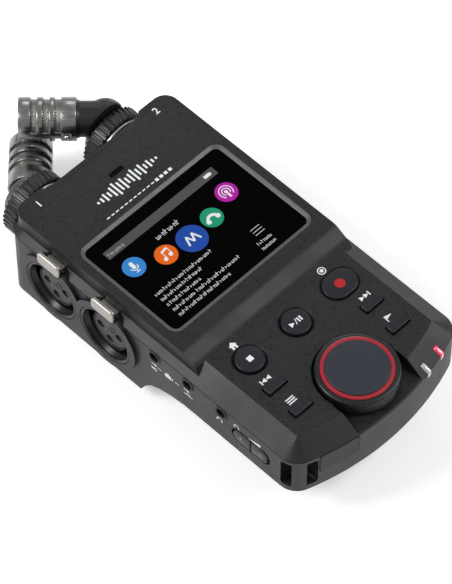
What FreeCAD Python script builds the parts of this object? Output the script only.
import FreeCAD, Part

import math
import os
import re

import Sketcher

# Portable field recorder. Millimetres. +X right, +Y towards the microphones, +Z out of the screen.
# The origin is the mouth of the tripod thread in the back face, straight behind the screen's centre.

SIZES = {
    # overall outline of the case, seen from the front
    "half_width": 36.0,
    "top_end": 47.3,
    "bottom_end": 83.6,
    "end_radius": 94.0,
    "top_corner": 6.0,
    "low_corner": 7.2,
    # heights above the back face
    "top_level": 38.0,
    "glass_level": 37.0,
    "panel_level": 35.3,
    "edge_level": 30.7,
    "thin_side_level": 15.4,
    "thin_back_level": 9.5,
    # case shape
    "wall": 2.0,
    "panel_wall": 1.7,
    "panel_inset": 6.75,
    "back_inset": 5.0,
    "hump_edge": 4.0,
    "hump_flat_end": 9.0,
    "hump_foot": 22.0,
    "hump_reach": 30.0,
    "block_inset": 2.6,
    "block_end": 26.4,
    "ramp_foot": 33.0,
    "ramp_tail": 2.6,
    "notch_length": 6.7,
    "notch_half": 13.2,
    "notch_mouth_half": 21.6,
    "notch_depth": 3.0,
    "seat_gap": 0.05,
    "part_gap": 0.3,
    # screen
    "window_half_x": 29.0,
    "window_half_y": 20.35,
    "window_corner": 2.2,
    "window_thick": 1.2,
    "bezel": 1.4,
    "display_half_x": 26.5,
    "display_half_y": 19.0,
    "display_thick": 2.4,
    "status_y": 35.2,
    "status_half_x": 2.85,
    "status_half_y": 0.9,
    # boards
    "board_level": 31.2,
    "board_thick": 1.0,
    "dome_height": 0.4,
    "dome_radius": 2.2,
    "board_left": 22.0,
    # keys
    "key_row_y": 42.4,
    "key_x": 19.6,
    "play_y": 42.8,
    "key_radius": 4.7,
    "record_half": 6.1,
    "dish_rim": 1.2,
    "dish_depth": 0.7,
    "key_travel": 0.35,
    "key_gap": 0.35,
    "key_top": 35.7,
    "flange_rim": 0.9,
    "small_key_x": 21.1,
    "upper_key_y": 54.4,
    "lower_key_y": 65.3,
    "small_key_half_x": 3.6,
    "small_key_half_y": 1.5,
    "small_key_top": 36.2,
    # dial
    "dial_inset": 15.2,
    "dial_radius": 13.15,
    "dial_top": 37.9,
    "dial_rim_top": 37.2,
    "dial_foot": 31.5,
    "well_gap": 0.75,
    "well_floor": 31.0,
    "well_floor_thick": 1.2,
    "dial_rim": 1.75,
    "ring_width": 1.3,
    "ring_sink": 0.45,
    "dial_bore": 3.05,
    "shaft_radius": 3.0,
    "shaft_hole": 3.6,
    "encoder_half": 5.8,
    "encoder_thick": 2.6,
    # light pipes at the lower end
    "pipe_half": 0.9,
    "pipe_low": 28.4,
    "pipe_high": 32.6,
    "pipe_length": 5.0,
    "pipe_proud": 0.2,
    "peak_angle": 10.7,
    "record_angle": 15.4,
    # balanced input sockets
    "socket_level": 19.5,
    "socket_lower_y": 2.9,
    "socket_pitch": 23.8,
    "boss_wall": 2.5,
    "boss_proud": 1.2,
    "shell_radius": 10.9,
    "shell_wall": 1.3,
    "shell_proud": 0.4,
    "shell_length": 20.4,
    "shell_base": 1.6,
    "insert_radius": 6.9,
    "insert_sink": 1.6,
    "pin_hole": 1.5,
    "pin_spread": 4.0,
    "pin_depth": 12.0,
    "contact_radius": 1.4,
    "contact_bore": 1.15,
    "latch_half": 4.8,
    "latch_low": 31.2,
    "latch_high": 36.0,
    "latch_proud": 2.0,
    "latch_thick": 1.2,
    "latch_travel": 1.2,
    "latch_arm_half": 3.4,
    "latch_reach": 11.0,
    "latch_tooth_low": 29.3,
    # small sockets in the left wall
    "jack_level": 28.3,
    "jack_first_y": 18.0,
    "jack_pitch": 14.3,
    "jack_ring": 2.05,
    "jack_bore": 1.8,
    "jack_length": 15.5,
    "jack_body_half": 3.2,
    "jack_body_low": 26.4,
    "jack_body_high": 31.0,
    "jack_proud": 0.3,
    # headphone volume keys
    "volume_y": 59.1,
    "volume_level": 23.4,
    "volume_half_y": 7.4,
    "volume_half_z": 2.6,
    "volume_recess": 0.8,
    "volume_split": 0.5,
    # adapter cover and strap slots
    "adapter_left": 27.3,
    "adapter_right": 13.7,
    "adapter_low": 22.6,
    "adapter_high": 30.4,
    "adapter_thick": 1.5,
    "cover_groove": 0.25,
    "adapter_plug": 1.8,
    "adapter_plug_rim": 2.0,
    "strap_inset": 2.1,
    "strap_end_inset": 6.2,
    "strap_post": 2.5,
    "strap_reach": 6.3,
    "strap_low": 17.8,
    "strap_high": 29.4,
    "strap_corner": 1.2,
    # battery bay
    "cell_radius": 7.2,
    "cell_length": 50.5,
    "cell_top_end": 12.5,
    "cell_clear": 0.2,
    "cell_gap": 0.1,
    "nub_radius": 2.7,
    "nub_length": 1.2,
    "bay_gap": 0.6,
    "bay_wall": 1.2,
    "cell_roof_gap": 0.1,
    "ceiling_thick": 0.6,
    "spring_space": 1.3,
    "contact_space": 0.2,
    "cover_top_end": 24.5,
    "cover_end_lap": 0.5,
    "cover_lap": 0.8,
    "cover_thick": 1.5,
    "cover_travel": 4.0,
    "cover_tongue": 2.4,
    "tongue_half": 20.0,
    "contact_thick": 0.4,
    # right wall: power slider, card door, USB socket
    "power_y": 10.0,
    "power_level": 27.0,
    "power_half_y": 3.5,
    "power_half_z": 1.6,
    "power_travel": 3.0,
    "usb_y": -12.0,
    "usb_level": 28.3,
    "usb_half_y": 4.5,
    "usb_half_z": 1.65,
    "usb_depth": 7.4,
    "usb_wall": 0.35,
    "door_y": 31.0,
    "door_level": 27.2,
    "door_half_y": 8.5,
    "door_half_z": 2.9,
    "door_thick": 1.2,
    "card_half_y": 6.5,
    "card_half_z": 1.4,
    "card_depth": 15.0,
    # back: tripod bush, speaker, screws
    "thread_bore": 2.6,
    "bush_radius": 4.8,
    "bush_height": 9.0,
    "speaker_x": 15.0,
    "speaker_y": 27.0,
    "speaker_radius": 9.0,
    "speaker_thick": 3.5,
    "screw_inset": 5.6,
    "screw_end_inset": 4.1,
    "low_screw_x": 20.5,
    "low_screw_inset": 10.2,
    "post_radius": 2.5,
    "screw_radius": 1.0,
    "screw_hole": 1.1,
    "screw_head": 1.9,
    "head_recess": 2.1,
    "screw_length": 9.0,
    # microphones
    "mic_x": 17.6,
    "mic_level": 19.4,
    "axle_radius": 5.0,
    "axle_flange": 7.4,
    "axle_depth": 3.7,
    "neck_length": 3.3,
    "plate_radius": 10.4,
    "plate_thick": 0.8,
    "collar_width": 5.9,
    "collar_radius": 11.6,
    "collar_bore": 5.05,
    "collar_cap": 1.6,
    "arm_offset": 8.5,
    "ball_radius": 6.1,
    "arm_root": 9.6,
    "arm_tube": 5.85,
    "mic_tip": 28.5,
    "sleeve_radius": 7.1,
    "sleeve_bore": 6.35,
    "mesh_radius": 6.3,
    "mesh_bore": 5.9,
    "capsule_radius": 5.2,
    "tip_band": 3.9,
    "window_width": 2.0,
    "first_ring": 2.0,
    "second_ring": 1.7,
    "base_band": 4.9,
    "rail_half": 1.3,
}

# Levels and places that follow from the sizes above.
DERIVED = {
    "block_half": "half_width - block_inset",
    "notch_inner": "top_end - notch_length",
    "dial_y": "bottom_end - dial_inset",
    "ring_outer": "dial_radius - dial_rim",
    "ring_inner": "ring_outer - ring_width",
    "scoop_half": "dial_radius + well_gap",
    "pipe_inner": "end_radius - pipe_length",
    "boss_radius": "shell_radius + boss_wall",
    "boss_face": "half_width + boss_proud",
    "shell_bore": "shell_radius - shell_wall",
    "shell_front": "half_width + shell_proud",
    "shell_back": "shell_front - shell_length",
    "insert_front": "shell_front - insert_sink",
    "latch_face": "half_width + latch_proud",
    "latch_arm_end": "latch_face - latch_reach",
    "jack_body_end": "half_width - jack_length",
    "strap_x": "half_width - strap_inset",
    "strap_y": "bottom_end - strap_end_inset",
    "cell_pitch": "2 * cell_radius + cell_gap",
    "cell_level": "thin_back_level + cover_thick + cell_clear + cell_radius",
    "bay_half": "2 * cell_pitch + bay_gap",
    "bay_ceiling": "cell_level + cell_radius + cell_roof_gap",
    "bay_top_end": "cell_top_end - spring_space",
    "bay_low_end": "cell_top_end + cell_length + nub_length + contact_space",
    "cover_half": "bay_half + cover_lap",
    "cover_low_end": "bay_low_end + cover_end_lap",
    "screw_x": "half_width - screw_inset",
    "screw_y": "top_end - screw_end_inset",
    "low_screw_y": "bottom_end - low_screw_inset",
    "axle_inner_end": "top_end - axle_depth",
    "neck_end": "top_end + neck_length",
    "plate_low": "neck_end + part_gap",
    "collar_low": "plate_low + plate_thick",
    "collar_high": "collar_low + collar_width",
}

doc = FreeCAD.newDocument("field_recorder")
sheet = doc.addObject("Spreadsheet::Sheet", "sizes")
rows = [(alias, str(value)) for alias, value in SIZES.items()]
rows += [(alias, "=" + text) for alias, text in DERIVED.items()]
for row, (alias, value) in enumerate(rows, start=1):
    sheet.set("A%d" % row, alias)
    sheet.set("B%d" % row, value)
    sheet.setAlias("B%d" % row, alias)
doc.recompute()

NODES = []


# ---- helpers -------------------------------------------------------------------------------------


def bound(text):
    """The expression with each size's name pointed at the spreadsheet."""
    def point(match):
        word = match.group(0)
        return "sizes." + word if word in SIZES or word in DERIVED else word
    return re.sub(r"[a-z][a-z_]*", point, str(text))


def number(text):
    """The present value of an expression of sizes."""
    return float(sheet.evalExpression(bound(text)))


def bind(thing, **values):
    """Bind properties to expressions; double underscores stand for dots."""
    for key, text in values.items():
        thing.setExpression(key.replace("__", "."), bound(text))


def placed(thing, x, y, z):
    """Bind the place of an object."""
    bind(thing, Placement__Base__x=x, Placement__Base__y=y, Placement__Base__z=z)
    return thing


def turn(thing, axis, angle):
    """Turn an object about its own base point."""
    thing.Placement.Rotation = FreeCAD.Rotation(FreeCAD.Vector(*axis), angle)
    return thing


def box(name, x, y, z):
    """A box between two expressions along each axis."""
    thing = doc.addObject("Part::Box", name)
    bind(thing, Length="(%s) - (%s)" % (x[1], x[0]))
    bind(thing, Width="(%s) - (%s)" % (y[1], y[0]))
    bind(thing, Height="(%s) - (%s)" % (z[1], z[0]))
    return placed(thing, x[0], y[0], z[0])


TURNS = {"x": ((0, 1, 0), 90), "y": ((1, 0, 0), -90), "z": ((0, 0, 1), 0)}


def rod(name, axis, radius, span, at, far_radius=None):
    """A cylinder, or a cone with far_radius, along x, y or z; at gives the two other coordinates."""
    if far_radius is None:
        thing = doc.addObject("Part::Cylinder", name)
        bind(thing, Radius=radius)
    else:
        thing = doc.addObject("Part::Cone", name)
        bind(thing, Radius1=radius, Radius2=far_radius)
    bind(thing, Height="(%s) - (%s)" % (span[1], span[0]))
    turn(thing, *TURNS[axis])
    place = list(at)
    place.insert("xyz".index(axis), span[0])
    return placed(thing, *place)


def ball(name, radius, x, y, z):
    thing = doc.addObject("Part::Sphere", name)
    bind(thing, Radius=radius)
    return placed(thing, x, y, z)


def fuse(name, *things):
    if len(things) == 1:
        return things[0]
    whole = doc.addObject("Part::MultiFuse", name)
    whole.Shapes = list(things)
    return whole


def cut(name, base, *tools):
    whole = doc.addObject("Part::Cut", name)
    whole.Base = base
    whole.Tool = fuse(name + "_tools", *tools)
    return whole


def common(name, *things):
    whole = doc.addObject("Part::MultiCommon", name)
    whole.Shapes = list(things)
    return whole


def rounded(name, base, radius, chosen):
    """Fillet the edges of base whose middle point and direction pass a test."""
    doc.recompute()
    size = number(radius)
    picked = []
    for index, edge in enumerate(base.Shape.Edges, start=1):
        middle = edge.valueAt((edge.FirstParameter + edge.LastParameter) / 2)
        ends = edge.Vertexes[-1].Point - edge.Vertexes[0].Point
        if chosen(middle, ends):
            picked.append((index, size, size))
    if not picked:
        raise RuntimeError("no edge to round on " + name)
    whole = doc.addObject("Part::Fillet", name)
    whole.Base = base
    whole.Edges = picked
    return whole


def along(axis):
    """A test for straight edges along one axis."""
    index = "xyz".index(axis)

    def chosen(middle, ends):
        across = [abs(ends[i]) for i in range(3) if i != index]
        return abs(ends[index]) > 1e-4 and max(across) < 1e-4
    return chosen


def rounded_box(name, x, y, z, radius, axis):
    return rounded(name, box(name + "_block", x, y, z), radius, along(axis))


PLANES = {"xy": "XY_Plane", "xz": "XZ_Plane", "yz": "YZ_Plane"}


def sketch_on(body, name, plane, level="0"):
    sketch = body.newObject("Sketcher::SketchObject", name)
    origin_plane = [f for f in body.Origin.OriginFeatures if f.Role == PLANES[plane]][0]
    sketch.AttachmentSupport = [(origin_plane, "")]
    sketch.MapMode = "FlatFace"
    bind(sketch, AttachmentOffset__Base__z=level)
    return sketch


def fix_point(sketch, geometry, position, u, v):
    """Hold one point of a sketch at two expressions."""
    for kind, text in (("DistanceX", u), ("DistanceY", v)):
        index = sketch.addConstraint(
            Sketcher.Constraint(kind, -1, 1, geometry, position, number(text)))
        sketch.setExpression("Constraints[%d]" % index, bound(text))


def polygon(sketch, points):
    """A closed outline of straight lines whose corners are bound expressions."""
    values = [FreeCAD.Vector(number(u), number(v), 0) for u, v in points]
    for index, start in enumerate(values):
        sketch.addGeometry(Part.LineSegment(start, values[(index + 1) % len(values)]), False)
    for index, (u, v) in enumerate(points):
        fix_point(sketch, index, 1, u, v)
    for index in range(len(points)):
        following = (index + 1) % len(points)
        sketch.addConstraint(Sketcher.Constraint("Coincident", index, 2, following, 1))


def prism(name, plane, points, low, high):
    """A body: a polygon on one plane, padded from one level to another."""
    body = doc.addObject("PartDesign::Body", name)
    sketch = sketch_on(body, name + "_sketch", plane, low)
    polygon(sketch, points)
    pad = body.newObject("PartDesign::Pad", name + "_pad")
    pad.Profile = sketch
    bind(pad, Length="(%s) - (%s)" % (high, low))
    return body


def outline(sketch, inset):
    """The case's outline from the front: straight sides, a curved lower end and round corners."""
    side = number("half_width - (%s)" % inset)
    top = number("top_end - (%s)" % inset)
    end = number("end_radius - (%s)" % inset)
    upper = number("max(top_corner - (%s); 0.5)" % inset)
    lower = number("low_corner - (%s)" % inset)
    centre = number("end_radius - bottom_end")
    corner_y = centre - math.sqrt((end - lower) ** 2 - (side - lower) ** 2)
    touch = math.atan2(side - lower, centre - corner_y)
    vector = FreeCAD.Vector
    low_point = vector(end * math.sin(touch), centre - end * math.cos(touch), 0)
    pieces = [
        Part.LineSegment(vector(-side + upper, top, 0), vector(side - upper, top, 0)),
        Part.ArcOfCircle(Part.Circle(vector(side - upper, top - upper, 0), vector(0, 0, 1), upper),
                         0, math.pi / 2),
        Part.LineSegment(vector(side, top - upper, 0), vector(side, corner_y, 0)),
        Part.ArcOfCircle(Part.Circle(vector(side - lower, corner_y, 0), vector(0, 0, 1), lower),
                         -math.pi / 2 + touch, 0),
        Part.ArcOfCircle(Part.Circle(vector(0, centre, 0), vector(0, 0, 1), end),
                         -math.pi / 2 - touch, -math.pi / 2 + touch),
        Part.ArcOfCircle(Part.Circle(vector(-side + lower, corner_y, 0), vector(0, 0, 1), lower),
                         math.pi, math.pi * 1.5 - touch),
        Part.LineSegment(vector(-side, corner_y, 0), vector(-side, top - upper, 0)),
        Part.ArcOfCircle(Part.Circle(vector(-side + upper, top - upper, 0), vector(0, 0, 1), upper),
                         math.pi / 2, math.pi),
    ]
    for piece in pieces:
        sketch.addGeometry(piece, False)
    joined = [(0, 2, 1, 2), (1, 1, 2, 1), (2, 2, 3, 2), (3, 1, 4, 2),
              (4, 1, 5, 2), (5, 1, 6, 1), (6, 2, 7, 2), (7, 1, 0, 1)]
    for first, first_end, second, second_end in joined:
        sketch.addConstraint(
            Sketcher.Constraint("Tangent", first, first_end, second, second_end))
    sketch.addConstraint(Sketcher.Constraint("Horizontal", 0))
    sketch.addConstraint(Sketcher.Constraint("PointOnObject", 4, 3, -2))
    held = [
        ("DistanceX", 2, 1, "half_width - (%s)" % inset),
        ("DistanceX", 6, 1, "(%s) - half_width" % inset),
        ("DistanceY", 0, 1, "top_end - (%s)" % inset),
        ("DistanceY", 4, 3, "end_radius - bottom_end"),
    ]
    for kind, piece, end_name, text in held:
        index = sketch.addConstraint(
            Sketcher.Constraint(kind, -1, 1, piece, end_name, number(text)))
        sketch.setExpression("Constraints[%d]" % index, bound(text))
    radii = [
        (1, "max(top_corner - (%s); 0.5)" % inset),
        (7, "max(top_corner - (%s); 0.5)" % inset),
        (3, "low_corner - (%s)" % inset),
        (5, "low_corner - (%s)" % inset),
        (4, "end_radius - (%s)" % inset),
    ]
    for piece, text in radii:
        index = sketch.addConstraint(Sketcher.Constraint("Radius", piece, number(text)))
        sketch.setExpression("Constraints[%d]" % index, bound(text))


def slab(name, inset, low, high):
    """The case's outline, inset, as a plate between two levels."""
    body = doc.addObject("PartDesign::Body", name)
    sketch = sketch_on(body, name + "_sketch", "xy", low)
    outline(sketch, inset)
    pad = body.newObject("PartDesign::Pad", name + "_pad")
    pad.Profile = sketch
    bind(pad, Length="(%s) - (%s)" % (high, low))
    return body


def bevelled(name, low_inset, low, high_inset, high):
    """The case's outline lofted from one level to another with a different inset."""
    body = doc.addObject("PartDesign::Body", name)
    first = sketch_on(body, name + "_low", "xy", low)
    outline(first, low_inset)
    second = sketch_on(body, name + "_high", "xy", high)
    outline(second, high_inset)
    loft = body.newObject("PartDesign::AdditiveLoft", name + "_loft")
    loft.Profile = first
    loft.Sections = [second]
    loft.Ruled = True
    return body


def node(name, thing):
    """Name an object as a sub-part of the recorder."""
    thing.Label = name
    NODES.append(thing)
    return thing


# ---- outer form of the case ----------------------------------------------------------------------


def top_rounding(middle, ends):
    """The two upright edges of the block at the top end."""
    return abs(ends.z) > 1 and abs(ends.x) < 1e-4 and middle.y > number("top_end") - 1


bevel = bevelled("front_bevel", "0", "edge_level", "panel_inset", "panel_level")
# the slope from the screen's block down to the key panel eases in and out; over the bevels it runs on
# down until it meets them
RAMP = [(0, 0), (0.15, 0.06), (0.3, 0.22), (0.5, 0.5), (0.7, 0.78), (0.85, 0.94), (1, 1)]
ramp_points = [("-block_end - %s * (ramp_foot - block_end)" % share,
                "top_level - %s * (top_level - panel_level)" % drop) for share, drop in RAMP]
block = prism("front_block", "yz",
              [("top_end", "edge_level"), ("top_end", "top_level")] + ramp_points
              + [("-ramp_foot - ramp_tail", "edge_level")],
              "-block_half", "block_half")
block = rounded("front_block_round", block, "top_corner - 1", top_rounding)
front_outer = fuse("front_outer", bevel, block)

hollow_block = box("front_hollow_block",
                   ("wall - block_half", "block_half - wall"),
                   ("-block_end", "top_end - wall"),
                   ("edge_level - 1", "top_level - wall"))
hollow_panel_box = box("front_hollow_panel_box",
                       ("panel_inset - half_width + 0.4", "half_width - panel_inset - 0.4"),
                       ("-bottom_end", "-block_end + 0.5"),
                       ("edge_level - 1", "panel_level - panel_wall"))
hollow_panel = common("front_hollow_panel", hollow_panel_box,
                      slab("front_hollow_plan", "panel_inset", "edge_level - 1",
                           "panel_level - panel_wall"))
hollow_lip = slab("front_hollow_lip", "wall + 0.6", "edge_level - 1", "edge_level + 0.9")

# the dial's well, with a solid floor and rim, and the scoop that runs out to the lower end
well_block = rod("well_block", "z", "dial_radius + well_gap + 0.9",
                 ("well_floor - well_floor_thick", "edge_level + 0.1"), ("0", "-dial_y"))
well = rod("well", "z", "dial_radius + well_gap", ("well_floor", "top_level"), ("0", "-dial_y"))
scoop = box("scoop", ("-scoop_half", "scoop_half"), ("-bottom_end - 3", "-dial_y - 3"),
            ("well_floor", "top_level"))
scoop_keep = box("scoop_keep", ("-scoop_half - panel_wall", "scoop_half + panel_wall"),
                 ("-bottom_end - 1", "-dial_y"), ("edge_level - 2", "top_level"))
well_keep = rod("well_keep", "z", "dial_radius + well_gap + panel_wall",
                ("edge_level - 2", "top_level"), ("0", "-dial_y"))
shaft_hole = rod("shaft_hole", "z", "shaft_hole", ("edge_level - 3", "top_level"),
                 ("0", "-dial_y"))

# the window's bed with its light bezel, the display's opening and the status lens
bezel = rounded_box("bezel_step", ("-window_half_x - bezel", "window_half_x + bezel"),
                    ("-window_half_y - bezel", "window_half_y + bezel"),
                    ("glass_level + 0.3", "top_level + 1"), "window_corner + bezel", "z")
window_bed = rounded_box("window_bed",
                         ("-window_half_x - seat_gap", "window_half_x + seat_gap"),
                         ("-window_half_y - seat_gap", "window_half_y + seat_gap"),
                         ("glass_level - window_thick", "top_level + 1"), "window_corner", "z")
display_opening = box("display_opening", ("-display_half_x", "display_half_x"),
                      ("-display_half_y", "display_half_y"),
                      ("edge_level - 1", "top_level + 1"))
status_opening = rounded_box("status_opening", ("-status_half_x", "status_half_x"),
                             ("status_y - status_half_y", "status_y + status_half_y"),
                             ("edge_level", "top_level + 1"), "status_half_y * 0.6", "z")

# the notch between the two microphones
notch = prism("notch", "xy", [
    ("-notch_half", "notch_inner"), ("notch_half", "notch_inner"),
    ("notch_mouth_half + 0.2", "top_end + 0.2"), ("notch_mouth_half + 1.2", "top_end + 3"),
    ("-notch_mouth_half - 1.2", "top_end + 3"), ("-notch_mouth_half - 0.2", "top_end + 0.2"),
], "top_level - notch_depth - 4", "top_level + 2")
notch_slope = prism("notch_slope", "yz", [
    ("notch_inner - 1", "top_level"), ("notch_inner", "top_level"),
    ("top_end + 0.2", "top_level - notch_depth"), ("top_end + 4", "top_level - notch_depth"),
    ("top_end + 4", "top_level + 2"), ("notch_inner - 1", "top_level + 2"),
], "-half_width", "half_width")
notch_cut = common("notch_cut", notch, notch_slope)

# keys and their openings
ROUND_KEYS = {
    "home_stop_button": ("-key_x", "-key_row_y", "key_radius"),
    "play_pause_button": ("0", "-play_y", "key_radius"),
}
SMALL_KEYS = {
    "rewind_button": ("-small_key_x", "-upper_key_y"),
    "forward_button": ("small_key_x", "-upper_key_y"),
    "menu_button": ("-small_key_x", "-lower_key_y"),
    "mark_button": ("small_key_x", "-lower_key_y"),
}


def stadium(name, x, y, half, radius, low, high):
    """A rounded bar lying along X."""
    return rounded_box(name, ("(%s) - (%s)" % (x, half), "(%s) + (%s)" % (x, half)),
                       ("(%s) - (%s)" % (y, radius), "(%s) + (%s)" % (y, radius)),
                       (low, high), "(%s) - 0.01" % radius, "z")


key_cuts = []
for name, (x, y, radius) in ROUND_KEYS.items():
    key_cuts.append(rod(name + "_hole", "z", radius + " + key_gap",
                        ("edge_level", "top_level"), (x, y)))
    key_cuts.append(rod(name + "_dish", "z", radius + " + dish_rim * 0.4",
                        ("panel_level - dish_depth", "panel_level + 0.1"), (x, y),
                        radius + " + dish_rim"))
key_cuts.append(stadium("record_hole", "key_x", "-key_row_y", "record_half + key_gap",
                        "key_radius + key_gap", "edge_level", "top_level"))
key_cuts.append(stadium("record_dish", "key_x", "-key_row_y", "record_half + dish_rim * 0.7",
                        "key_radius + dish_rim * 0.7", "panel_level - dish_depth * 0.6",
                        "top_level"))
for name, (x, y) in SMALL_KEYS.items():
    key_cuts.append(box(name + "_hole",
                        (x + " - small_key_half_x - key_gap", x + " + small_key_half_x + key_gap"),
                        (y + " - small_key_half_y - key_gap", y + " + small_key_half_y + key_gap"),
                        ("edge_level", "top_level")))

# ---- balanced sockets: bosses and what is cut for them --------------------------------------------

SOCKETS = {"lower": "socket_lower_y", "upper": "socket_lower_y + socket_pitch"}


def side_rod(name, radius, span, y, level, far=None):
    """A rod along X whose ends are given as distances to the left of the middle."""
    return rod(name, "x", radius, ("-(%s)" % span[0], "-(%s)" % span[1]), (y, level), far)


bosses = []
socket_bores = []
latch_cuts = []
for side, y in SOCKETS.items():
    bosses.append(side_rod(side + "_boss", "boss_radius", ("boss_face", "half_width - 3"),
                           y, "socket_level"))
    socket_bores.append(side_rod(side + "_bore", "shell_radius + seat_gap",
                                 ("boss_face + 1", "shell_back - 1"), y, "socket_level"))
    latch_cuts.append(box(side + "_latch_recess",
                          ("-latch_face - 1", "-latch_face + latch_thick + latch_travel + 0.5"),
                          (y + " - latch_half - part_gap", y + " + latch_half + part_gap"),
                          ("latch_low - part_gap - 0.1", "latch_high + part_gap")))
    latch_cuts.append(box(side + "_latch_channel",
                          ("-latch_face - 1", "-latch_arm_end + latch_travel + 0.6"),
                          (y + " - latch_arm_half - part_gap", y + " + latch_arm_half + part_gap"),
                          ("latch_tooth_low - 0.5",
                           "max(socket_level + boss_radius + 0.4; latch_low + 1.4)")))

screw_posts = []
screw_holes = []
head_recesses = []
screws = []
SCREW_SPOTS = [
    ("-screw_x", "screw_y", "0"),
    ("screw_x", "screw_y", "0"),
    ("-low_screw_x", "-low_screw_y", "thin_back_level"),
    ("low_screw_x", "-low_screw_y", "thin_back_level"),
]
SCREW_SEAT = "edge_level - screw_length + 5"
for index, (x, y, floor) in enumerate(SCREW_SPOTS):
    tag = "screw%d" % index
    screw_posts.append(rod(tag + "_post", "z", "post_radius", (floor + " + 0.5", "edge_level"),
                           (x, y)))
    screw_holes.append(rod(tag + "_hole", "z", "screw_hole", ("-1", "edge_level + 1"), (x, y)))
    head_recesses.append(rod(tag + "_recess", "z", "head_recess", ("-1", SCREW_SEAT), (x, y)))
    shank = rod(tag + "_shank", "z", "screw_radius",
                (SCREW_SEAT, "edge_level + 3"), (x, y))
    head = rod(tag + "_head", "z", "screw_head", (SCREW_SEAT + " - 1.6", SCREW_SEAT), (x, y))
    slot = rounded_box(tag + "_slot", (x + " - 0.35", x + " + 0.35"), (y + " - 1.2", y + " + 1.2"),
                       (SCREW_SEAT + " - 2", SCREW_SEAT + " - 0.8"), "0.2", "z")
    screws.append(cut(tag, fuse(tag + "_whole", shank, head), slot))

front_posts = []
front_post_holes = []
for index, (x, y, floor) in enumerate(SCREW_SPOTS):
    roof = "top_level - wall" if index < 2 else "panel_level - panel_wall"
    front_posts.append(rod("front_post%d" % index, "z", "post_radius", ("edge_level", roof),
                           (x, y)))
    front_post_holes.append(rod("front_post_hole%d" % index, "z", "screw_radius + 0.02",
                                ("edge_level - 1", "edge_level + 3.2"), (x, y)))

# light pipes: a bent bar that follows the bevel over the lower edge, turned to its place


def light_pipe(name, angle, grow="0"):
    slope = "(panel_level - edge_level) / panel_inset"
    face = "end_radius + pipe_proud + (%s)" % grow
    body = prism(name, "yz", [
        ("-pipe_inner", "pipe_low - (%s)" % grow),
        ("-(%s)" % face, "pipe_low - (%s)" % grow),
        ("-(%s)" % face, "edge_level + 0.1"),
        ("-(%s) + (pipe_high - edge_level - 0.1) / (%s)" % (face, slope), "pipe_high"),
        ("-pipe_inner", "pipe_high"),
    ], "-pipe_half - (%s)" % grow, "pipe_half + (%s)" % grow)
    bind(body, Placement__Base__y="end_radius - bottom_end")
    body.Placement.Rotation = FreeCAD.Rotation(FreeCAD.Vector(0, 0, 1), number(angle))
    return body


pipe_cuts = [light_pipe("peak_pipe_cut", "peak_angle"),
             light_pipe("record_pipe_cut", "record_angle")]

front_hollow = cut("front_hollow", fuse("front_hollow_whole", hollow_block, hollow_panel,
                                       hollow_lip), scoop_keep, well_keep)
front_shell = cut("front_shell", front_outer, front_hollow)
front_body = fuse("front_body", front_shell, well_block, *front_posts)
boss_clear = [rod("boss_clear_%s" % side, "x", "boss_radius + seat_gap",
                  ("-boss_face - 2", "-half_width + 3 - seat_gap"), (y, "socket_level"))
              for side, y in SOCKETS.items()]
front_case = cut("front_case_whole", front_body, well, scoop, shaft_hole, bezel, window_bed,
                 display_opening, status_opening, notch_cut, *key_cuts, *latch_cuts, *pipe_cuts,
                 *boss_clear, *front_post_holes)
node("front_case", front_case)

# ---- rear case -----------------------------------------------------------------------------------

rear_side = slab("rear_side", "0", "thin_side_level", "edge_level")
rear_bevel = bevelled("rear_bevel", "back_inset", "thin_back_level", "0", "thin_side_level")
# the slope at the hump's foot: how far along it each point is, and its height
HUMP_SLOPE = [(0.12, 0.26), (0.23, 0.53), (0.34, 0.7), (0.53, 0.845), (0.74, 0.93), (1, 0.99)]
slope_points = [("-hump_flat_end - %s * (hump_reach - hump_flat_end)" % share,
                 "%s * thin_side_level" % rise) for share, rise in HUMP_SLOPE]
hump_side = prism("hump_side", "yz",
                  [("top_end", "edge_level"), ("top_end", "hump_edge"),
                   ("top_end - hump_edge", "0"), ("-hump_flat_end", "0")] + slope_points
                  + [("-hump_reach - 3", "thin_side_level + 1"), ("-hump_reach - 3", "edge_level")],
                  "-half_width", "half_width")
hump_front = prism("hump_front", "xz", [
    ("half_width", "edge_level"), ("half_width", "hump_edge"), ("half_width - hump_edge", "0"),
    ("hump_edge - half_width", "0"), ("-half_width", "hump_edge"), ("-half_width", "edge_level"),
], "-top_end - 1", "hump_foot + 20")
hump_plan = slab("hump_plan", "0", "-1", "edge_level")
hump = common("hump", hump_side, hump_front, hump_plan)
rear_outer = fuse("rear_outer", rear_side, rear_bevel, hump, *bosses)

hump_hollow = box("hump_hollow", ("wall - half_width", "half_width - wall"),
                  ("wall - hump_flat_end", "top_end - wall"), ("hump_edge", "edge_level + 1"))
hump_floor_hollow = box("hump_floor_hollow",
                        ("hump_edge - half_width", "half_width - hump_edge"),
                        ("wall - hump_flat_end", "top_end - hump_edge"),
                        ("wall", "hump_edge + 1"))
thin_hollow = slab("thin_hollow_plan", "wall", "thin_side_level - 0.5", "edge_level + 1")
thin_floor_hollow = slab("thin_floor_plan", "wall + back_inset", "thin_back_level + wall",
                         "thin_side_level")
thin_floor_limit = box("thin_floor_limit", ("-half_width", "half_width"),
                       ("-bottom_end", "-hump_foot - 4"), ("0", "edge_level + 2"))
thin_low = common("thin_low", thin_floor_hollow, thin_floor_limit)

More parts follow.
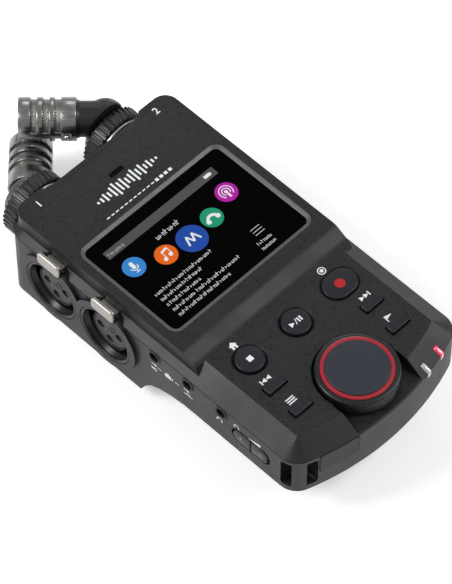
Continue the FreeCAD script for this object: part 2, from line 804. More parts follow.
bay_block = box("bay_block", ("-bay_half - bay_wall", "bay_half + bay_wall"),
                ("-bay_low_end - bay_wall", "-bay_top_end + bay_wall"),
                ("thin_back_level + 1", "bay_ceiling + ceiling_thick"))
bay = box("bay", ("-bay_half", "bay_half"), ("-bay_low_end", "-bay_top_end"),
          ("thin_back_level + cover_thick - 0.1", "bay_ceiling"))
bay_mouth = box("bay_mouth", ("-cover_half - part_gap", "cover_half + part_gap"),
                ("-cover_low_end - cover_travel - part_gap", "-cover_top_end + seat_gap"),
                ("thin_back_level - 1", "thin_back_level + cover_thick + 0.05"))
bay_opening = box("bay_opening", ("-bay_half", "bay_half"), ("-bay_low_end", "-cover_top_end"),
                  ("thin_back_level - 1", "thin_back_level + cover_thick + 1"))
tongue_slot = box("tongue_slot", ("-tongue_half - part_gap", "tongue_half + part_gap"),
                  ("-cover_top_end - 0.5", "-cover_top_end + cover_tongue + part_gap"),
                  ("thin_back_level + 0.55", "thin_back_level + cover_thick + 0.05"))
slope_block = box("slope_block", ("-bay_half - bay_wall", "bay_half + bay_wall"),
                  ("-cover_top_end", "-bay_top_end + bay_wall"),
                  ("thin_back_level + 0.6", "thin_back_level + cover_thick + 3"))
bush_post = rod("bush_post", "z", "bush_radius + 2", ("0.5", "bush_height + 0.5"), ("0", "0"))
bush_hole = rod("bush_hole", "z", "bush_radius + seat_gap", ("-1", "bush_height"), ("0", "0"))

left_openings = []
for index in range(3):
    left_openings.append(side_rod("jack_hole%d" % index, "jack_ring + seat_gap",
                                  ("half_width + 2", "half_width - wall - 1"),
                                  "-(jack_first_y + %d * jack_pitch)" % index, "jack_level"))


def left_stadium(name, front, back, grow):
    """A rounded bar along Y, sunk into the left wall at the volume keys."""
    return rounded_box(name, ("-(%s)" % front, "-(%s)" % back),
                       ("-volume_y - volume_half_y - (%s)" % grow,
                        "-volume_y + volume_half_y + (%s)" % grow),
                       ("volume_level - volume_half_z - (%s)" % grow,
                        "volume_level + volume_half_z + (%s)" % grow),
                       "volume_half_z + (%s) - 0.01" % grow, "x")


left_openings.append(left_stadium("volume_dish", "half_width + 1", "half_width - volume_recess",
                                  "0.7"))
left_openings.append(left_stadium("volume_hole", "half_width + 1", "half_width - wall - 1",
                                  "0.2"))

right_openings = [
    box("power_window", ("half_width - wall - 1", "half_width + 1"),
        ("power_y - power_half_y - power_travel", "power_y + power_half_y"),
        ("power_level - power_half_z + 0.5", "power_level + power_half_z - 0.5")),
    rounded_box("power_dish", ("half_width - 0.7", "half_width + 1"),
                ("power_y - power_half_y - power_travel - 0.6", "power_y + power_half_y + 0.6"),
                ("power_level - power_half_z - 0.4", "power_level + power_half_z + 0.4"),
                "power_half_z", "x"),
    rounded_box("usb_hole", ("half_width - wall - 1", "half_width + 1"),
                ("usb_y - usb_half_y - seat_gap", "usb_y + usb_half_y + seat_gap"),
                ("usb_level - usb_half_z - seat_gap", "usb_level + usb_half_z + seat_gap"),
                "usb_half_z - 0.1", "x"),
    box("door_hole", ("half_width - door_thick", "half_width + 1"),
        ("door_y - door_half_y - part_gap", "door_y + door_half_y + part_gap"),
        ("door_level - door_half_z - part_gap", "door_level + door_half_z + part_gap")),
    box("card_mouth", ("half_width - wall - 1", "half_width + 1"),
        ("door_y - card_half_y", "door_y + card_half_y"),
        ("door_level - card_half_z", "door_level + card_half_z")),
]

END_CENTRE = ("0", "end_radius - bottom_end")


def end_band(name, inner, outer, low, high):
    """A ring of the lower end's curve, between two radii."""
    return cut(name, rod(name + "_outer", "z", outer, (low, high), END_CENTRE),
               rod(name + "_inner", "z", inner, (low + " - 1", high + " + 1"), END_CENTRE))


def adapter_box(name, grow):
    return rounded_box(name, ("-adapter_left - (%s)" % grow, "-adapter_right + (%s)" % grow),
                       ("-bottom_end - 1", "-bottom_end + 9"),
                       ("adapter_low - (%s)" % grow, "adapter_high + (%s)" % grow), "1.0", "y")


adapter_recess = common("adapter_recess", adapter_box("adapter_recess_box", "cover_groove"),
                        end_band("adapter_recess_band", "end_radius - adapter_thick",
                                 "end_radius + 1", "adapter_low - 2", "adapter_high + 1"))
adapter_port = box("adapter_port", ("-adapter_left + adapter_plug_rim",
                                    "-adapter_right - adapter_plug_rim"),
                   ("-bottom_end - 1", "-bottom_end + wall + 7"),
                   ("adapter_low + adapter_plug_rim", "adapter_high - adapter_plug_rim"))

strap_outer = rounded("strap_outer_round",
                      rod("strap_outer", "z", "strap_reach", ("strap_low", "strap_high"),
                          ("-strap_x", "-strap_y")),
                      "strap_corner", lambda middle, ends: abs(ends.z) < 1e-3)
strap_ring = cut("strap_ring", strap_outer,
                 rod("strap_post_rod", "z", "strap_post", ("strap_low - 1", "strap_high + 1"),
                     ("-strap_x", "-strap_y")))
strap_house = common("strap_house",
                     rod("strap_house_rod", "z", "strap_reach + 1.2",
                         ("strap_low - 1.2", "strap_high + 1.25"), ("-strap_x", "-strap_y")),
                     slab("strap_house_plan", "0.05", "thin_side_level", "edge_level"))

axle_holes = []
MICS = {"right": 1, "left": -1}
for side, sign in MICS.items():
    x = "%d * mic_x" % sign
    axle_holes.append(rod(side + "_axle_hole", "y", "axle_radius + seat_gap",
                          ("top_end - wall - 2", "top_end + 1"), (x, "mic_level")))

grille = []
for ring, count in ((0, 1), (1, 6), (2, 12)):
    for spot in range(count):
        angle = 2 * math.pi * spot / count
        along_x = "speaker_x + %.6f * speaker_radius" % (0.36 * ring * math.cos(angle))
        along_y = "speaker_y + %.6f * speaker_radius" % (0.36 * ring * math.sin(angle))
        grille.append(rod("grille_%d_%d" % (ring, spot), "z", "0.7", ("-1", "wall + 1"),
                          (along_x, along_y)))

board_posts = []
for index, (x, y) in enumerate((("20", "-5"), ("-10", "36"), ("22", "11"))):
    board_posts.append(rod("board_post%d" % index, "z", "2",
                           ("wall - 0.5", "board_level"), (x, y)))

rear_shell = cut("rear_shell", rear_outer, hump_hollow, hump_floor_hollow, thin_hollow, thin_low)
well_below = rod("well_below", "z", "dial_radius + well_gap + 1",
                 ("well_floor - well_floor_thick - 0.1", "edge_level + 1"), ("0", "-dial_y"))
rear_plan = slab("rear_plan", "0.02", "0", "edge_level")
rear_fill = common("rear_fill", rear_plan, fuse("rear_fill_parts", bay_block, slope_block,
                                                bush_post, *screw_posts))
rear_full = fuse("rear_full", rear_shell, rear_fill, strap_house, *board_posts)
rear_case = cut("rear_case_whole", rear_full, bay, bay_mouth, bay_opening, tongue_slot, bush_hole,
                strap_ring, adapter_recess, adapter_port, *socket_bores, *latch_cuts,
                *left_openings, *right_openings, *axle_holes, *grille, *screw_holes,
                *head_recesses, *pipe_cuts, well_below)
node("rear_case", rear_case)
node("case_screws", fuse("case_screw_set", *screws))


# ---- battery bay ---------------------------------------------------------------------------------

cover_plate = box("cover_plate", ("-cover_half", "cover_half"), ("-cover_low_end", "-cover_top_end"),
                  ("thin_back_level", "thin_back_level + cover_thick"))
cover_tongue = box("cover_tongue", ("-tongue_half", "tongue_half"),
                   ("-cover_top_end - 1", "-cover_top_end + cover_tongue"),
                   ("thin_back_level + 0.75", "thin_back_level + cover_thick"))
cover_grips = []
for index in range(4):
    cover_grips.append(box("cover_grip%d" % index, ("-7", "7"),
                           ("-cover_low_end + 4 + %d" % (2 * index),
                            "-cover_low_end + 4.9 + %d" % (2 * index)),
                           ("thin_back_level - 1", "thin_back_level + 0.5")))
cover_plate = rounded("cover_round", cover_plate, "1.0", along("z"))
node("battery_cover", cut("battery_cover_whole", fuse("cover_body", cover_plate, cover_tongue),
                          *cover_grips))

cells = []
contacts = []
for index in range(4):
    x = "%.1f * cell_pitch" % (index - 1.5)
    nub_up = index % 2 == 0
    low = "-cell_top_end - cell_length"
    can = (low, "-cell_top_end - nub_length") if nub_up else (low + " + nub_length",
                                                              "-cell_top_end")
    nub = ("-cell_top_end - nub_length - 0.5", "-cell_top_end") if nub_up else (
        low, low + " + nub_length + 0.5")
    can_body = rounded("cell_can%d" % index,
                       rod("cell_side%d" % index, "y", "cell_radius", can, (x, "cell_level")),
                       "0.5", lambda middle, ends: ends.Length < 1e-6)
    cells.append(fuse("cell%d" % index, can_body,
                      rod("cell_nub%d" % index, "y", "nub_radius", nub, (x, "cell_level"))))
    for end, wall_y, sign in (("up", "-bay_top_end", -1), ("down", "-bay_low_end", 1)):
        plate_y = (wall_y, wall_y + " + contact_thick")
        spring_y = (wall_y + " + contact_thick", "-cell_top_end - cell_length - seat_gap")
        tip, root = "1.6", "3.2"
        if sign < 0:
            plate_y = (wall_y + " - contact_thick", wall_y)
            spring_y = ("-cell_top_end + seat_gap", wall_y + " - contact_thick")
            tip, root = "3.2", "1.6"
        plate = box("contact_plate%d%s" % (index, end), (x + " - 4.5", x + " + 4.5"), plate_y,
                    ("cell_level - 4.5", "cell_level + 4.5"))
        spring = rod("contact_spring%d%s" % (index, end), "y", root, spring_y,
                     (x, "cell_level"), tip)
        contacts.append(fuse("contact%d%s" % (index, end), plate, spring))
node("battery_cells", fuse("cell_set", *cells))
node("battery_contacts", fuse("contact_set", *contacts))

# ---- adapter cover -------------------------------------------------------------------------------

adapter_skin = common("adapter_skin", adapter_box("adapter_skin_box", "0"),
                      end_band("adapter_skin_band", "end_radius - adapter_thick + 0.02",
                               "end_radius + 0.12", "adapter_low - 2", "adapter_high + 1"))
adapter_plug_block = box("adapter_plug_block",
                         ("-adapter_left + adapter_plug_rim + 0.2",
                          "-adapter_right - adapter_plug_rim - 0.2"),
                         ("-bottom_end + 1", "-bottom_end + 7"),
                         ("adapter_low + adapter_plug_rim + 0.2",
                          "adapter_high - adapter_plug_rim - 0.2"))
adapter_plug_part = common("adapter_plug_part", adapter_plug_block,
                           end_band("adapter_plug_band", "end_radius - adapter_thick - adapter_plug",
                                    "end_radius - 0.5", "adapter_low - 2", "adapter_high + 1"))
node("adapter_cover", fuse("adapter_cover_whole", adapter_skin, adapter_plug_part))

# ---- screen --------------------------------------------------------------------------------------

node("display_window", rounded_box("display_glass", ("-window_half_x", "window_half_x"),
                                   ("-window_half_y", "window_half_y"),
                                   ("glass_level - window_thick", "glass_level"),
                                   "window_corner - 0.05", "z"))
node("display_module", box("display_panel", ("-display_half_x + 0.3", "display_half_x - 0.3"),
                           ("-display_half_y + 0.3", "display_half_y - 0.3"),
                           ("glass_level - window_thick - display_thick - seat_gap",
                            "glass_level - window_thick - seat_gap")))
status_lens = rounded_box("status_lens", ("-status_half_x + seat_gap", "status_half_x - seat_gap"),
                          ("status_y - status_half_y + seat_gap",
                           "status_y + status_half_y - seat_gap"),
                          ("top_level - wall - 0.5", "top_level - 0.25"), "status_half_y * 0.55",
                          "z")
status_foot = box("status_foot", ("-status_half_x - 0.8", "status_half_x + 0.8"),
                  ("status_y - status_half_y - 0.8", "status_y + status_half_y + 0.8"),
                  ("top_level - wall - 0.9", "top_level - wall - 0.05"))
node("status_window", fuse("status_window_whole", status_lens, status_foot))

# ---- boards --------------------------------------------------------------------------------------

BOARD_TOP = "board_level + board_thick"
KEY_SPOTS = [("-key_x", "-key_row_y"), ("0", "-play_y"), ("key_x", "-key_row_y")]
KEY_SPOTS += list(SMALL_KEYS.values())
main_plate = box("main_plate", ("-board_left", "block_half - wall - part_gap"), ("-8.5", "39"),
                 ("board_level", BOARD_TOP))
chip_spots = (("-16", "14", "9"), ("2", "22", "7"), ("4", "2", "5"), ("22", "14", "6"))
chips = []
for index, (x, y, size) in enumerate(chip_spots):
    chips.append(box("chip%d" % index, (x, "%s + %s" % (x, size)), (y, "%s + %s" % (y, size)),
                     ("board_level - 1.1", "board_level + 0.1")))
node("main_board", fuse("main_board_whole", main_plate, *chips))

key_plate_box = box("key_plate_box",
                    ("-half_width + panel_inset + 0.9", "half_width - panel_inset - 0.9"),
                    ("-low_screw_y - 1", "-block_end - 8.5"), ("board_level", BOARD_TOP))
key_plate = common("key_plate", key_plate_box,
                   slab("key_plate_plan", "panel_inset + 0.3", "board_level", BOARD_TOP))
domes = []
for index, (x, y) in enumerate(KEY_SPOTS):
    domes.append(rod("dome%d" % index, "z", "dome_radius",
                     (BOARD_TOP + " - 0.1", BOARD_TOP + " + dome_height"), (x, y)))
well_clear = rod("well_clear", "z", "dial_radius + well_gap + panel_wall + 0.4",
                 ("edge_level", "top_level"), ("0", "-dial_y"))
scoop_clear = box("scoop_clear", ("-scoop_half - panel_wall - 0.4", "scoop_half + panel_wall + 0.4"),
                  ("-bottom_end", "-dial_y"), ("edge_level", "top_level"))
post_clear = [rod("post_clear%d" % index, "z", "post_radius + 0.3", ("edge_level", "top_level"),
                  (x, y)) for index, (x, y, floor) in enumerate(SCREW_SPOTS)]
node("control_board", cut("control_board_whole", fuse("key_board", key_plate, *domes), well_clear,
                          scoop_clear, *post_clear))

# ---- keys ----------------------------------------------------------------------------------------

FLANGE_LOW = BOARD_TOP + " + dome_height + key_travel + seat_gap"
FLANGE_HIGH = "panel_level - panel_wall - seat_gap"


def top_edges(level):
    """A test for the edges that lie at one height."""
    def chosen(middle, ends):
        return abs(middle.z - number(level)) < 1e-3 and abs(ends.z) < 1e-3
    return chosen


for name, (x, y, radius) in ROUND_KEYS.items():
    cap = rounded(name + "_cap", rod(name + "_post", "z", radius, (FLANGE_LOW, "key_top"), (x, y)),
                  "0.4", top_edges("key_top"))
    flange = rod(name + "_flange", "z", radius + " + flange_rim", (FLANGE_LOW, FLANGE_HIGH), (x, y))
    node(name, fuse(name + "_whole", cap, flange))
record_cap = rounded("record_cap", stadium("record_post", "key_x", "-key_row_y", "record_half",
                                           "key_radius", FLANGE_LOW, "key_top"),
                     "0.4", top_edges("key_top"))
record_flange = stadium("record_flange", "key_x", "-key_row_y", "record_half + flange_rim",
                        "key_radius + flange_rim", FLANGE_LOW, FLANGE_HIGH)
node("record_button", fuse("record_whole", record_cap, record_flange))
for name, (x, y) in SMALL_KEYS.items():
    post = box(name + "_block", (x + " - small_key_half_x", x + " + small_key_half_x"),
               (y + " - small_key_half_y", y + " + small_key_half_y"),
               (FLANGE_LOW, "small_key_top"))
    post = rounded(name + "_sides", post, "0.4", along("z"))
    cap = rounded(name + "_cap", post, "0.3", top_edges("small_key_top"))
    flange = box(name + "_flange",
                 (x + " - small_key_half_x - flange_rim", x + " + small_key_half_x + flange_rim"),
                 (y + " - small_key_half_y - flange_rim", y + " + small_key_half_y + flange_rim"),
                 (FLANGE_LOW, FLANGE_HIGH))
    node(name, fuse(name + "_whole", cap, flange))

# ---- dial ----------------------------------------------------------------------------------------

DIAL = ("0", "-dial_y")
SEAT = "dial_rim_top - 0.7"
dial_drum = rounded("dial_drum", rod("dial_cylinder", "z", "dial_radius",
                                     ("dial_foot", "dial_rim_top"), DIAL),
                    "0.6", top_edges("dial_rim_top"))
dial_seat = rod("dial_seat", "z", "ring_outer + 0.02", (SEAT, "top_level"), DIAL)
dial_hole = rod("dial_hole", "z", "dial_bore", ("dial_foot - 1", "dial_rim_top - 2"), DIAL)
node("dial_body", cut("dial_body_whole", dial_drum, dial_seat, dial_hole))
node("dial_ring", cut("dial_ring_whole",
                      rod("dial_ring_disc", "z", "ring_outer", (SEAT, "dial_top - ring_sink"), DIAL),
                      rod("dial_ring_hole", "z", "ring_inner", (SEAT + " - 1", "top_level"), DIAL)))
node("dial_cap", rounded("dial_cap_whole", rod("dial_cap_disc", "z", "ring_inner - 0.02",
                                               (SEAT, "dial_top"), DIAL),
                         "0.5", top_edges("dial_top")))
FLOOR_UNDER = "well_floor - well_floor_thick"
node("dial_shaft", rod("dial_shaft_rod", "z", "shaft_radius",
                       (FLOOR_UNDER + " - encoder_thick + 0.6", "dial_rim_top - 2.1"), DIAL))
encoder_box = box("encoder_box", ("-encoder_half", "encoder_half"),
                  ("-dial_y - encoder_half", "-dial_y + encoder_half"),
                  (FLOOR_UNDER + " - encoder_thick - seat_gap", FLOOR_UNDER + " - seat_gap"))
encoder_neck = rod("encoder_neck", "z", "shaft_hole - seat_gap",
                   (FLOOR_UNDER + " - 1", "well_floor - 0.2"), DIAL)
encoder_bore = rod("encoder_bore", "z", "shaft_radius + seat_gap",
                   (FLOOR_UNDER + " - encoder_thick + 0.5", "top_level"), DIAL)
node("dial_encoder", cut("dial_encoder_whole", fuse("encoder_body", encoder_box, encoder_neck),
                         encoder_bore))
node("peak_light_pipe", light_pipe("peak_pipe", "peak_angle", "-0.02"))
node("record_light_pipe", light_pipe("record_pipe", "record_angle", "-0.02"))

# ---- balanced sockets ----------------------------------------------------------------------------

for side, y in SOCKETS.items():
    level = "socket_level"
    tube = side_rod(side + "_tube", "shell_radius", ("shell_front", "shell_back"), y, level)
    hollow = side_rod(side + "_hollow", "shell_bore", ("shell_front + 1", "shell_back + shell_base"),
                      y, level)
    mouth = side_rod(side + "_mouth", "shell_radius - 0.3", ("shell_front + 0.01",
                                                             "shell_front - 2"), y, level,
                     "shell_bore - 0.01")
    slot = box(side + "_shell_slot", ("-shell_front - 1", "-latch_arm_end + latch_travel + 1"),
               (y + " - latch_arm_half - part_gap", y + " + latch_arm_half + part_gap"),
               ("latch_tooth_low - 0.5", "latch_high"))
    tails = []
    holes = []
    sleeves = []
    for pin, (across, down) in enumerate((("pin_spread", "0"), ("-pin_spread", "0"),
                                          ("0", "pin_spread"))):
        spot = (y + " + " + across, "socket_level - (%s)" % down)
        tag = "%s_pin%d" % (side, pin)
        holes.append(side_rod(tag + "_hole", "pin_hole",
                              ("insert_front + 1", "shell_back + shell_base + 1"), *spot))
        tails.append(side_rod(tag + "_way", "0.7", ("shell_front", "shell_back - 1"), *spot))
        sleeve = cut(tag + "_sleeve",
                     side_rod(tag + "_sleeve_out", "contact_radius",
                              ("insert_front - 0.8", "shell_back + shell_base + 1.1"), *spot),
                     side_rod(tag + "_sleeve_in", "contact_bore",
                              ("insert_front", "insert_front - pin_depth + 1"), *spot))
        sleeves.append(fuse(tag + "_contact", sleeve,
                            side_rod(tag + "_tail", "0.6",
                                     ("shell_back + shell_base + 1.5", "shell_back - 2"), *spot)))
    node("xlr_%s_shell" % side, cut(side + "_shell", tube, hollow, mouth, slot, *tails))
    core = rounded(side + "_core",
                   side_rod(side + "_core_rod", "insert_radius",
                            ("insert_front", "shell_back + shell_base + 0.02"), y, level),
                   "0.4", lambda middle, ends: middle.x < -number("insert_front") + 0.01)
    tail_holes = [side_rod("%s_tail_hole%d" % (side, pin), "0.7",
                           ("shell_back + shell_base + 2", "shell_back"),
                           y + " + " + across, "socket_level - (%s)" % down)
                  for pin, (across, down) in enumerate((("pin_spread", "0"), ("-pin_spread", "0"),
                                                        ("0", "pin_spread")))]
    node("xlr_%s_insert" % side, cut(side + "_insert", core, *holes, *tail_holes))
    node("xlr_%s_contacts" % side, fuse(side + "_contacts", *sleeves))
    tab = rounded_box(side + "_tab", ("-latch_face", "-latch_face + latch_thick"),
                      (y + " - latch_half", y + " + latch_half"), ("latch_low", "latch_high"),
                      "0.9", "x")
    arm = box(side + "_arm", ("-latch_face + latch_thick - 0.2", "-latch_arm_end"),
              (y + " - latch_arm_half", y + " + latch_arm_half"), ("latch_low", "latch_low + 1"))
    tooth = box(side + "_tooth", ("-latch_arm_end - 5", "-latch_arm_end - 3.5"),
                (y + " - 2", y + " + 2"), ("latch_tooth_low", "latch_low + 0.5"))
    node("xlr_%s_latch" % side, fuse(side + "_latch", tab, arm, tooth))

# ---- small sockets and keys on the sides ----------------------------------------------------------

for index, name in enumerate(("ext_in_jack", "line_out_jack", "headphone_jack")):
    y = "-(jack_first_y + %d * jack_pitch)" % index
    ring = side_rod(name + "_ring", "jack_ring", ("half_width + jack_proud", "half_width - 3.2"),
                    y, "jack_level")
    body = box(name + "_body", ("-half_width + wall + 0.9", "-jack_body_end"),
               (y + " - jack_body_half", y + " + jack_body_half"),
               ("jack_body_low", "jack_body_high"))
    bore = side_rod(name + "_bore", "jack_bore", ("half_width + 1", "jack_body_end + 1.5"), y,
                    "jack_level")
    node(name, cut(name + "_whole", fuse(name + "_solid", ring, body), bore))

KEY_BACK = "half_width - wall - seat_gap"
for name, low, high in (("volume_up_key", "volume_split / 2", "volume_half_y + 1"),
                        ("volume_down_key", "-volume_half_y - 1", "-volume_split / 2")):
    half = box(name + "_half", ("-half_width - 2", "0"),
               ("-volume_y + " + low, "-volume_y + " + high), ("0", "top_level"))
    face = left_stadium(name + "_face", "half_width + 0.2", "half_width - wall - 0.4", "0")
    rim = left_stadium(name + "_rim", KEY_BACK, "half_width - wall - 0.65", "0.8")
    node(name, common(name + "_whole", fuse(name + "_both", face, rim), half))

switch_blocks = [
    box("volume_switch", ("-half_width + wall + 1.4", "-bay_half - bay_wall - 0.3"),
        ("-volume_y - volume_half_y", "-volume_y + volume_half_y"),
        ("volume_level - 2", "volume_level + 2")),
    box("volume_dome_up", ("-half_width + wall + 1.05", "-half_width + wall + 1.6"),
        ("-volume_y + 2.5", "-volume_y + 5.5"), ("volume_level - 1.5", "volume_level + 1.5")),
    box("volume_dome_down", ("-half_width + wall + 1.05", "-half_width + wall + 1.6"),
        ("-volume_y - 5.5", "-volume_y - 2.5"), ("volume_level - 1.5", "volume_level + 1.5")),
]
power_block = box("power_switch", ("half_width - wall - 6", "half_width - wall - 1.5"),
                  ("power_y - power_half_y - power_travel", "power_y + power_half_y"),
                  ("power_level - 2.2", "board_level - 0.02"))
node("side_switches", fuse("side_switch_set", fuse("volume_switch_body", *switch_blocks),
                           power_block))
POWER_Y = ("power_y - power_half_y + 0.1", "power_y + power_half_y - 0.1")
slider_knob = rounded_box("slider_knob", ("half_width - 0.65", "half_width"), POWER_Y,
                          ("power_level - power_half_z", "power_level + power_half_z"),
                          "power_half_z - 0.1", "x")
slider_ribs = [box("slider_rib%d" % index, ("half_width - 0.3", "half_width + 1"),
                   ("power_y - 1.5 + %.1f" % (1.3 * index), "power_y - 1.1 + %.1f" % (1.3 * index)),
                   ("0", "top_level")) for index in range(3)]
slider_stem = box("slider_stem", ("half_width - wall - 0.6", "half_width - 0.5"),
                  ("power_y - 1.5", "power_y + 1.5"),
                  ("power_level - power_half_z + 0.6", "power_level + power_half_z - 0.6"))
slider_flange = box("slider_flange", ("half_width - wall - 1.2", "half_width - wall - seat_gap"),
                    ("power_y - 3", "power_y + 3"),
                    ("power_level - power_half_z", "power_level + power_half_z"))
node("power_slider", cut("power_slider_whole",
                         fuse("slider_body", slider_knob, slider_stem, slider_flange),
                         *slider_ribs))

usb_shell = rounded_box("usb_shell", ("half_width - usb_depth", "half_width - 0.1"),
                        ("usb_y - usb_half_y", "usb_y + usb_half_y"),
                        ("usb_level - usb_half_z", "usb_level + usb_half_z"),
                        "usb_half_z - 0.15", "x")
usb_hollow = rounded_box("usb_hollow", ("half_width - usb_depth + 1", "half_width + 1"),
                         ("usb_y - usb_half_y + usb_wall", "usb_y + usb_half_y - usb_wall"),
                         ("usb_level - usb_half_z + usb_wall", "usb_level + usb_half_z - usb_wall"),
                         "usb_half_z - usb_wall - 0.15", "x")
usb_tongue = box("usb_tongue", ("half_width - usb_depth + 0.5", "half_width - 1.2"),
                 ("usb_y - 3.3", "usb_y + 3.3"), ("usb_level - 0.35", "usb_level + 0.35"))
usb_foot = box("usb_foot", ("half_width - usb_depth", "half_width - wall - 0.9"),
               ("usb_y - 3", "usb_y + 3"), ("usb_level + usb_half_z - 0.2", "board_level"))
node("usb_port", fuse("usb_port_whole", cut("usb_frame", usb_shell, usb_hollow), usb_tongue,
                      usb_foot))

door_plate = rounded_box("door_plate", ("half_width - door_thick + 3 * seat_gap", "half_width"),
                         ("door_y - door_half_y", "door_y + door_half_y"),
                         ("door_level - door_half_z", "door_level + door_half_z"), "0.5", "x")
node("card_door", door_plate)
socket_block = box("card_block", ("half_width - wall - card_depth - 1", "half_width - wall - 0.9"),
                   ("door_y - card_half_y - 0.8", "door_y + card_half_y + 0.6"),
                   ("door_level - card_half_z - 0.6", "board_level - 0.02"))
card_slot = box("card_slot", ("half_width - wall - card_depth", "half_width"),
                ("door_y - card_half_y + 0.2", "door_y + card_half_y - 0.2"),
                ("door_level - card_half_z + 0.3", "door_level + card_half_z - 0.3"))
node("card_socket", cut("card_socket_whole", socket_block, card_slot))

# ---- back ----------------------------------------------------------------------------------------

bush_body = rod("bush_body", "z", "bush_radius", ("0", "bush_height"), ("0", "0"))
thread = rod("thread", "z", "thread_bore", ("-1", "bush_height - 1"), ("0", "0"))
node("tripod_bush", cut("tripod_bush_whole", bush_body, thread))
speaker_can = rod("speaker_can", "z", "speaker_radius", ("wall + seat_gap", "wall + speaker_thick"),
                  ("speaker_x", "speaker_y"))
speaker_magnet = rod("speaker_magnet", "z", "speaker_radius * 0.6",
                     ("wall + speaker_thick - 0.1", "wall + speaker_thick + 2"),
                     ("speaker_x", "speaker_y"))
node("speaker", fuse("speaker_whole", speaker_can, speaker_magnet))

# ---- microphones ---------------------------------------------------------------------------------

HALF_TURN = "sqrt(0.5)"


def mic_spot(sign, offset):
    """A point on the capsule's axis, so far from the elbow."""
    return ("%d * (mic_x + part_gap - (%s) * %s)" % (sign, offset, HALF_TURN),
            "collar_high + (%s) * %s" % (offset, HALF_TURN),
            "mic_level + %d * arm_offset" % sign)


def mic_rod(name, sign, radius, low, high, far_radius=None):
    """A cylinder or cone on the capsule's axis, between two distances from the elbow."""
    thing = rod(name, "z", radius, (low, high), ("0", "0"), far_radius)
    placed(thing, *mic_spot(sign, low))
    thing.Placement.Rotation = FreeCAD.Rotation(FreeCAD.Vector(0, 0, 1),
                                                FreeCAD.Vector(-sign, 1, 0))
    return thing


def mic_rails(name, sign, low, high):
    """A flat bar through the capsule's axis whose ends are the sleeve's two rails."""
    thing = doc.addObject("Part::Box", name)
    bind(thing, Length="(%s) - (%s)" % (high, low), Width="2 * sleeve_radius + 2",
         Height="2 * rail_half")
    x, y, z = mic_spot(sign, low)
    placed(thing, "%s + (sleeve_radius + 1) * %s" % (x, HALF_TURN),
           "%s + %d * (sleeve_radius + 1) * %s" % (y, sign, HALF_TURN), z + " - rail_half")
    thing.Placement.Rotation = FreeCAD.Rotation(FreeCAD.Vector(0, 0, 1), 90 + sign * 45)
    return thing


BANDS = [("tip_band", "window_width"), ("first_ring", "window_width"),
         ("second_ring", "window_width")]
SLEEVE_LENGTH = "(tip_band + first_ring + second_ring + 3 * window_width + base_band)"

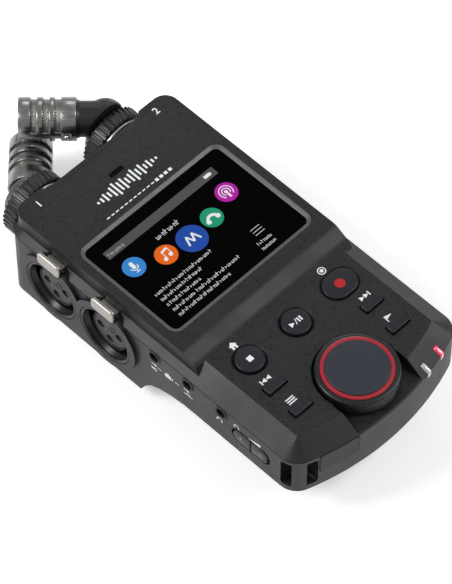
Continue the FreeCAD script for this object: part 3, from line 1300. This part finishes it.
for side, sign in MICS.items():
    x = "%d * mic_x" % sign
    at = (x, "mic_level")
    tag = "mic_" + side + "_"
    axle = rod(tag + "axle_rod", "y", "axle_radius", ("axle_inner_end", "collar_high - collar_cap - 0.3"),
               at)
    inner_flange = rod(tag + "inner_flange", "y", "axle_flange",
                       ("axle_inner_end", "top_end - wall - seat_gap"), at)
    neck = rod(tag + "neck", "y", "axle_flange", ("top_end + seat_gap", "neck_end"), at)
    node(tag + "axle", fuse(tag + "axle_whole", axle, inner_flange, neck))
    plate = rod(tag + "plate_disc", "y", "plate_radius", ("plate_low", "collar_low"), at)
    plate_hole = rod(tag + "plate_hole", "y", "collar_bore", ("plate_low - 1", "collar_low + 1"),
                     at)
    node(tag + "plate", cut(tag + "plate_whole", plate, plate_hole))
    drum = rod(tag + "drum", "y", "collar_radius", ("collar_low", "collar_high"), at)
    bore = rod(tag + "bore", "y", "collar_bore", ("collar_low - 1", "collar_high - collar_cap"), at)
    node(tag + "collar", cut(tag + "collar_whole", drum, bore))
    level = "mic_level + %d * arm_offset" % sign
    elbow_x = "%d * (mic_x + part_gap)" % sign
    elbow = ball(tag + "elbow", "ball_radius", elbow_x, "collar_high", level)
    horn = rod(tag + "horn", "y", "arm_root", ("collar_high", "collar_high + 3.2"), at, "7.4")
    tube = mic_rod(tag + "tube", sign, "arm_tube", "0", "mic_tip - %s" % SLEEVE_LENGTH)
    stub = mic_rod(tag + "stub", sign, "sleeve_bore - seat_gap",
                   "mic_tip - %s - 0.5" % SLEEVE_LENGTH, "mic_tip - %s + 3" % SLEEVE_LENGTH)
    before_face = box(tag + "before_face", ("-half_width", "half_width"),
                      ("collar_high - 12", "collar_high"), ("-10", "top_level"))
    node(tag + "arm", cut(tag + "arm_whole", fuse(tag + "arm_solid", elbow, horn, tube, stub),
                          before_face))
    sleeve = mic_rod(tag + "sleeve_tube", sign, "sleeve_radius", "mic_tip - %s" % SLEEVE_LENGTH,
                     "mic_tip")
    sleeve_hole = mic_rod(tag + "sleeve_hole", sign, "sleeve_bore",
                          "mic_tip - %s - 1" % SLEEVE_LENGTH, "mic_tip + 1")
    windows = []
    distance = "mic_tip"
    for index, (band, opening) in enumerate(BANDS):
        high = "%s - %s" % (distance, band)
        low = "%s - %s" % (high, opening)
        windows.append(cut("%swindow%d" % (tag, index),
                           mic_rod("%sgap%d" % (tag, index), sign, "sleeve_radius + 1", low, high),
                           mic_rails("%srails%d" % (tag, index), sign, low + " - 1", high + " + 1")))
        distance = low
    node(tag + "sleeve", cut(tag + "sleeve_whole", sleeve, sleeve_hole, *windows))
    mesh_low = "mic_tip - %s + 3.1" % SLEEVE_LENGTH
    mesh = mic_rod(tag + "mesh_cup", sign, "mesh_radius", mesh_low, "mic_tip - 0.6")
    mesh_hollow = mic_rod(tag + "mesh_hollow", sign, "mesh_bore", mesh_low + " - 1",
                          "mic_tip - 1.1")
    node(tag + "mesh", cut(tag + "mesh_whole", mesh, mesh_hollow))
    node(tag + "capsule", mic_rod(tag + "capsule_can", sign, "capsule_radius",
                                  "mic_tip - %s + 3" % SLEEVE_LENGTH, "mic_tip - 1.6"))

# ---- checks and files ----------------------------------------------------------------------------

doc.recompute()
for thing in doc.Objects:
    if "Invalid" in thing.State or "Error" in thing.State:
        raise RuntimeError("%s did not compute: %s" % (thing.Name, thing.State))
os.makedirs("parts", exist_ok=True)
for thing in NODES:
    shape = thing.Shape
    if shape.isNull() or not shape.isValid() or not shape.Solids:
        raise RuntimeError("%s has no valid solid" % thing.Label)
for thing in NODES:
    thing.Shape.exportStep("parts/%s.step" % thing.Label)
print("%d sub-parts" % len(NODES))
